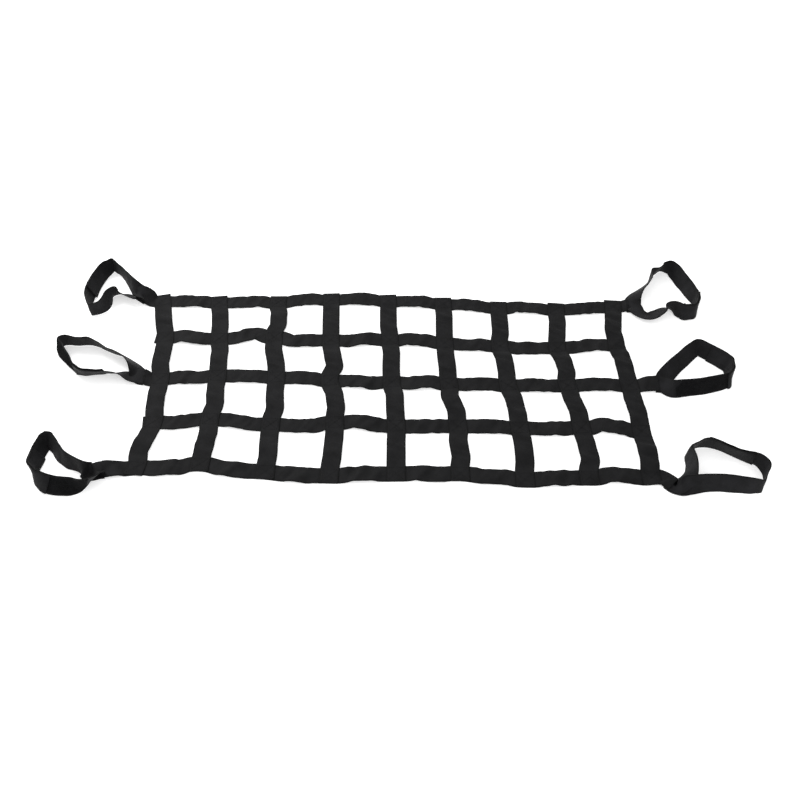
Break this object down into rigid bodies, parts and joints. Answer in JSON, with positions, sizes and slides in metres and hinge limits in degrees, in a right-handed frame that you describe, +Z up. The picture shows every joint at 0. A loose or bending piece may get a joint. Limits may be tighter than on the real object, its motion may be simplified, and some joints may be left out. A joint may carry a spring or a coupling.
{
  "type": "cargo climbing net",
  "caption": "Flat black webbing cargo net: long and cross straps sewn into a square grid, with hook-and-loop strap loops at both short ends for hanging it from bars.",
  "frame": {"origin": "on the floor under the centre crossing, on the middle long strap's lower face", "axes": "+X along the long straps, +Y along the cross straps towards the back of the lay, +Z up from the floor"},
  "size_m": [1.4995, 0.7056, 0.0382],
  "materials": {
    "net_webbing": "matte",
    "tail_webbing": "matte",
    "hook_tape": "matte",
    "pile_tape": "matte",
    "thread": "satin"
  },
  "bodies": {
    "net": {"long_strap_1": "net_webbing", "long_strap_2": "net_webbing", "long_strap_3": "net_webbing", "long_strap_4": "net_webbing", "long_strap_5": "net_webbing", "cross_strap_1": "net_webbing", "cross_strap_2": "net_webbing", "cross_strap_3": "net_webbing", "cross_strap_4": "net_webbing", "cross_strap_5": "net_webbing", "cross_strap_6": "net_webbing", "cross_strap_7": "net_webbing", "cross_strap_8": "net_webbing", "cross_strap_9": "net_webbing", "stitching_1": "thread", "stitching_2": "thread", "stitching_3": "thread", "stitching_4": "thread", "stitching_5": "thread", "back_left_sewn_ends": "tail_webbing", "middle_left_sewn_ends": "tail_webbing", "front_left_sewn_ends": "tail_webbing", "back_right_sewn_ends": "tail_webbing", "middle_right_sewn_ends": "tail_webbing", "front_right_sewn_ends": "tail_webbing"},
    "back_left_loop": {"back_left_hook_tail": "tail_webbing", "back_left_pile_tail": "tail_webbing", "back_left_pile_tape": "pile_tape"},
    "back_left_closure": {"back_left_hook_flap": "tail_webbing", "back_left_hook_tape": "hook_tape"},
    "middle_left_loop": {"middle_left_hook_tail": "tail_webbing", "middle_left_pile_tail": "tail_webbing", "middle_left_pile_tape": "pile_tape"},
    "middle_left_closure": {"middle_left_hook_flap": "tail_webbing", "middle_left_hook_tape": "hook_tape"},
    "front_left_loop": {"front_left_hook_tail": "tail_webbing", "front_left_pile_tail": "tail_webbing", "front_left_pile_tape": "pile_tape"},
    "front_left_closure": {"front_left_hook_flap": "tail_webbing", "front_left_hook_tape": "hook_tape"},
    "back_right_loop": {"back_right_hook_tail": "tail_webbing", "back_right_pile_tail": "tail_webbing", "back_right_pile_tape": "pile_tape"},
    "back_right_closure": {"back_right_hook_flap": "tail_webbing", "back_right_hook_tape": "hook_tape"},
    "middle_right_loop": {"middle_right_hook_tail": "tail_webbing", "middle_right_pile_tail": "tail_webbing", "middle_right_pile_tape": "pile_tape"},
    "middle_right_closure": {"middle_right_hook_flap": "tail_webbing", "middle_right_hook_tape": "hook_tape"},
    "front_right_loop": {"front_right_hook_tail": "tail_webbing", "front_right_pile_tail": "tail_webbing", "front_right_pile_tape": "pile_tape"},
    "front_right_closure": {"front_right_hook_flap": "tail_webbing", "front_right_hook_tape": "hook_tape"}
  },
  "joints": [
    {"name": "back_left_swing", "type": "hinge", "parent": "net", "child": "back_left_loop", "pos_m": [-0.59097, 0.2717, 0.00185], "axis": [0.037, 0.9993, 0], "range_deg": [0, 110]},
    {"name": "back_left_peel", "type": "hinge", "parent": "back_left_loop", "child": "back_left_closure", "pos_m": [-0.72085, 0.30292, 0.019], "axis": [0, 0, 1], "range_deg": [0, 110]},
    {"name": "middle_left_swing", "type": "hinge", "parent": "net", "child": "middle_left_loop", "pos_m": [-0.55386, 0.00649, 0.00185], "axis": [-0.0797, 0.9968, 0], "range_deg": [0, 110]},
    {"name": "middle_left_peel", "type": "hinge", "parent": "middle_left_loop", "child": "middle_left_closure", "pos_m": [-0.61494, 0.00869, 0.019], "axis": [0, 0, 1], "range_deg": [0, 110]},
    {"name": "front_left_swing", "type": "hinge", "parent": "net", "child": "front_left_loop", "pos_m": [-0.59179, -0.25052, 0.00185], "axis": [-0.0767, 0.9971, 0], "range_deg": [0, 110]},
    {"name": "front_left_peel", "type": "hinge", "parent": "front_left_loop", "child": "front_left_closure", "pos_m": [-0.72797, -0.23884, 0.019], "axis": [0, 0, -1], "range_deg": [0, 110]},
    {"name": "back_right_swing", "type": "hinge", "parent": "net", "child": "back_right_loop", "pos_m": [0.56388, 0.25325, 0.00185], "axis": [0.0739, -0.9973, 0], "range_deg": [0, 110]},
    {"name": "back_right_peel", "type": "hinge", "parent": "back_right_loop", "child": "back_right_closure", "pos_m": [0.67211, 0.22033, 0.019], "axis": [0, 0, -1], "range_deg": [0, 110]},
    {"name": "middle_right_swing", "type": "hinge", "parent": "net", "child": "middle_right_loop", "pos_m": [0.588, -0.01, 0.00185], "axis": [0, -1, 0], "range_deg": [0, 110]},
    {"name": "middle_right_peel", "type": "hinge", "parent": "middle_right_loop", "child": "middle_right_closure", "pos_m": [0.71574, 0.08314, 0.019], "axis": [0, 0, 1], "range_deg": [0, 110]},
    {"name": "front_right_swing", "type": "hinge", "parent": "net", "child": "front_right_loop", "pos_m": [0.571, -0.27, 0.00185], "axis": [0, -1, 0], "range_deg": [0, 110]},
    {"name": "front_right_peel", "type": "hinge", "parent": "front_right_loop", "child": "front_right_closure", "pos_m": [0.75547, -0.25387, 0.019], "axis": [0, 0, -1], "range_deg": [0, 110]}
  ]
}
